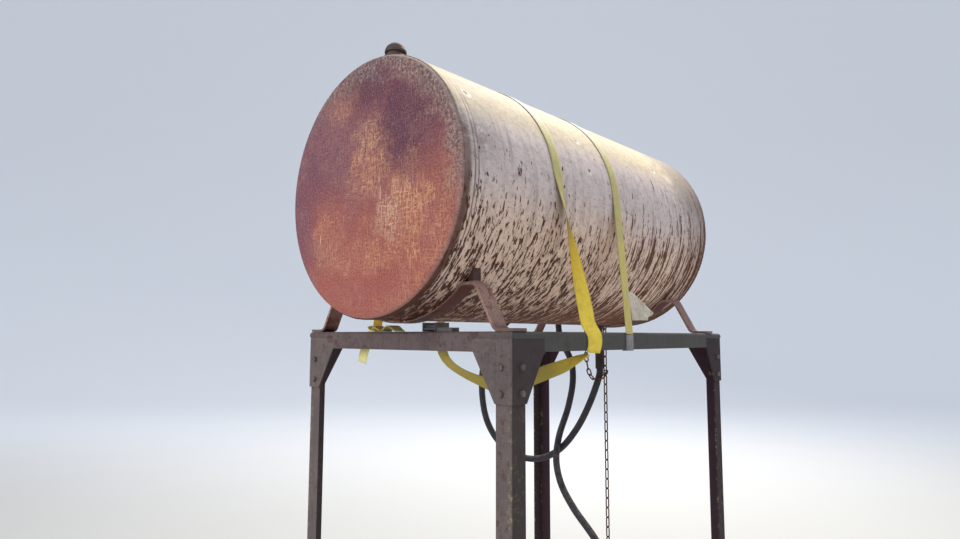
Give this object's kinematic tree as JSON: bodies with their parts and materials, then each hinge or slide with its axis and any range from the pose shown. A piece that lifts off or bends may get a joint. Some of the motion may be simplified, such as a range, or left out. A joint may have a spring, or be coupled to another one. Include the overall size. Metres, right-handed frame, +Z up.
{
  "type": "horizontal fuel tank on stand",
  "caption": "Rusty horizontal cylindrical farm fuel tank with flat heads, carried by bent flat-bar saddles on a four-legged angle-iron stand, with tie-down straps, chain and fuel hose",
  "frame": {"origin": "on the ground, in the middle under the tank", "axes": "X runs along the tank from its front head, with the fill cap, at -X to its rear head, with the outlet below it, at +X; Y runs across to the side that the picture doesn't show; Z is up"},
  "size_m": [1.7422, 1.1908, 2.5699],
  "materials": {
    "shell_paint": "weathered pale paint with rust streaks",
    "rusty_steel": "matte rust",
    "cap_iron": "rusty cast iron",
    "black_iron": "dark pipe fitting",
    "saddle_steel": "faded brown paint and rust",
    "rail_steel": "dull olive-grey paint",
    "stand_steel": "grey-brown paint and lichen",
    "bolt_steel": "weathered steel",
    "webbing": "woven polyester webbing",
    "hook_steel": "dull zinc plate",
    "chain_steel": "rusty chain",
    "hose_rubber": "matte black rubber",
    "nozzle_metal": "cast metal"
  },
  "bodies": {
    "root": {"tank_shell": "shell_paint", "front_head": "rusty_steel", "rear_head": "rusty_steel", "fill_neck": "rusty_steel", "vent_cap": "cap_iron", "outlet_neck": "black_iron", "hose_coupling": "black_iron", "front_saddle": "saddle_steel", "rear_saddle": "saddle_steel", "front_lugs": "saddle_steel", "front_rail": "rail_steel", "rear_rail": "rail_steel", "left_rail": "rail_steel", "right_rail": "rail_steel", "gusset_front_left": "stand_steel", "gusset_front_right": "stand_steel", "gusset_rear_left": "stand_steel", "gusset_rear_right": "stand_steel", "leg_front_left": "stand_steel", "leg_front_right": "stand_steel", "leg_rear_left": "stand_steel", "leg_rear_right": "stand_steel", "foot_front_left": "stand_steel", "foot_front_right": "stand_steel", "foot_rear_left": "stand_steel", "foot_rear_right": "stand_steel", "bolts_front_left": "bolt_steel", "bolts_front_right": "bolt_steel", "bolts_rear_left": "bolt_steel", "bolts_rear_right": "bolt_steel", "front_strap": "webbing", "rear_strap": "webbing", "strap_hooks": "hook_steel", "strap_tail": "webbing", "ratchet": "hook_steel", "ratchet_handle": "hook_steel", "strap_bundle": "webbing", "chain_eyes": "hook_steel", "hanging_chain": "chain_steel", "chain_sling": "chain_steel", "hose": "hose_rubber", "nozzle": "nozzle_metal"}
  },
  "joints": []
}
